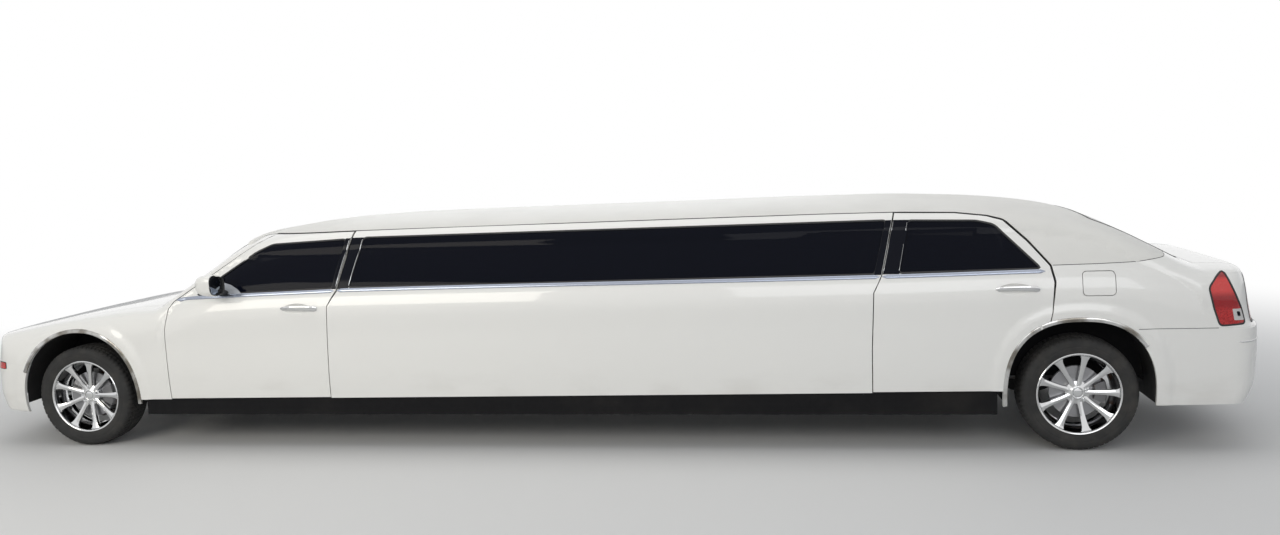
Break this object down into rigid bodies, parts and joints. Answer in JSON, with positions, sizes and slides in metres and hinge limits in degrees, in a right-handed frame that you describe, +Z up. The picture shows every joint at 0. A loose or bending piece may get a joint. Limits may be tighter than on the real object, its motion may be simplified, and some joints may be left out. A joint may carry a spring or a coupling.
{
  "type": "stretch limousine",
  "caption": "White stretch limousine with opening doors, bonnet, boot lid and fuel door, turning and steering wheels, dark windows and a hollow cabin with seats.",
  "frame": {"origin": "on the ground below the middle of the bounding box", "axes": "+X to the tail, +Y to the car's right, +Z up"},
  "size_m": [8.87, 2.21, 1.603],
  "materials": {
    "white_paint": "gloss white paint",
    "white_vinyl": "grained white vinyl",
    "tinted_glass": "dark tinted glass",
    "chrome": "polished chrome",
    "tyre_rubber": "black rubber",
    "black_plastic": "matte black",
    "lamp_red": "clear red lens",
    "lamp_clear": "clear lens",
    "cast_metal": "bare metal",
    "grey_leather": "dark grey hide"
  },
  "bodies": {
    "car": {"dashboard": "black_plastic", "engine": "cast_metal", "exhaust": "cast_metal", "front_bumper": "white_paint", "front_fender_left": "white_paint", "front_fender_right": "white_paint", "front_seats": "grey_leather", "front_suspension": "cast_metal", "grille": "chrome", "head_lamp_left": "lamp_clear", "head_lamp_right": "lamp_clear", "middle_glass_left": "tinted_glass", "middle_glass_right": "tinted_glass", "middle_panel_left": "white_paint", "middle_panel_right": "white_paint", "partition": "grey_leather", "rear_bumper": "white_paint", "rear_quarter_left": "white_paint", "rear_quarter_right": "white_paint", "rear_suspension": "cast_metal", "rear_window": "tinted_glass", "roof": "white_vinyl", "saloon_bench": "grey_leather", "tail_lamp_left": "lamp_red", "tail_lamp_right": "lamp_red", "underbody": "black_plastic", "windscreen": "tinted_glass", "windscreen_frame": "white_paint"},
    "front_door_left_body": {"front_door_left": "white_paint", "front_door_glass_left": "tinted_glass", "mirror_left": "white_paint"},
    "rear_door_left_body": {"rear_door_left": "white_paint", "rear_door_glass_left": "tinted_glass"},
    "knuckle_left_body": {"knuckle_left": "cast_metal"},
    "wheel_front_left": {"tyre_front_left": "tyre_rubber", "rim_front_left": "chrome"},
    "wheel_rear_left": {"tyre_rear_left": "tyre_rubber", "rim_rear_left": "chrome"},
    "front_door_right_body": {"front_door_right": "white_paint", "front_door_glass_right": "tinted_glass", "mirror_right": "white_paint"},
    "rear_door_right_body": {"rear_door_right": "white_paint", "rear_door_glass_right": "tinted_glass"},
    "knuckle_right_body": {"knuckle_right": "cast_metal"},
    "wheel_front_right": {"tyre_front_right": "tyre_rubber", "rim_front_right": "chrome"},
    "wheel_rear_right": {"tyre_rear_right": "tyre_rubber", "rim_rear_right": "chrome"},
    "bonnet_body": {"bonnet": "white_paint"},
    "boot_lid_body": {"boot_lid": "white_paint"},
    "fuel_door_body": {"fuel_door": "white_paint"}
  },
  "joints": [
    {"name": "front_door_left_hinge", "type": "hinge", "parent": "car", "child": "front_door_left_body", "pos_m": [-2.87, -0.94, 0.7], "axis": [0, 0, -1], "range_deg": [0, 65]},
    {"name": "rear_door_left_hinge", "type": "hinge", "parent": "car", "child": "rear_door_left_body", "pos_m": [2.01, -0.94, 0.7], "axis": [0, 0, -1], "range_deg": [0, 65]},
    {"name": "front_door_right_hinge", "type": "hinge", "parent": "car", "child": "front_door_right_body", "pos_m": [-2.87, 0.94, 0.7], "axis": [0, 0, 1], "range_deg": [0, 65]},
    {"name": "rear_door_right_hinge", "type": "hinge", "parent": "car", "child": "rear_door_right_body", "pos_m": [2.01, 0.94, 0.7], "axis": [0, 0, 1], "range_deg": [0, 65]},
    {"name": "bonnet_hinge", "type": "hinge", "parent": "car", "child": "bonnet_body", "pos_m": [-3.005, 0, 1.006], "axis": [0, 1, 0], "range_deg": [0, 55]},
    {"name": "boot_lid_hinge", "type": "hinge", "parent": "car", "child": "boot_lid_body", "pos_m": [4.025, 0, 1.152], "axis": [0, -1, 0], "range_deg": [0, 75]},
    {"name": "fuel_door_hinge", "type": "hinge", "parent": "car", "child": "fuel_door_body", "pos_m": [3.29, -0.932, 1.0675], "axis": [0, 0, -1], "range_deg": [0, 80]},
    {"name": "steering_left", "type": "hinge", "parent": "car", "child": "knuckle_left_body", "pos_m": [-3.57, -0.74, 0.3635], "axis": [0, 0, 1], "range_deg": [-35, 35]},
    {"name": "steering_right", "type": "hinge", "parent": "car", "child": "knuckle_right_body", "pos_m": [-3.57, 0.74, 0.3635], "axis": [0, 0, 1], "range_deg": [-35, 35]},
    {"name": "wheel_front_left_spin", "type": "hinge", "parent": "knuckle_left_body", "child": "wheel_front_left", "pos_m": [-3.57, -0.785, 0.3635], "axis": [0, 1, 0], "continuous": true},
    {"name": "wheel_rear_left_spin", "type": "hinge", "parent": "car", "child": "wheel_rear_left", "pos_m": [3.28, -0.785, 0.3635], "axis": [0, 1, 0], "continuous": true},
    {"name": "wheel_front_right_spin", "type": "hinge", "parent": "knuckle_right_body", "child": "wheel_front_right", "pos_m": [-3.57, 0.785, 0.3635], "axis": [0, 1, 0], "continuous": true},
    {"name": "wheel_rear_right_spin", "type": "hinge", "parent": "car", "child": "wheel_rear_right", "pos_m": [3.28, 0.785, 0.3635], "axis": [0, 1, 0], "continuous": true}
  ],
  "couplings": [
    {"joint": "steering_right", "follows": "steering_left", "ratio": 1}
  ]
}
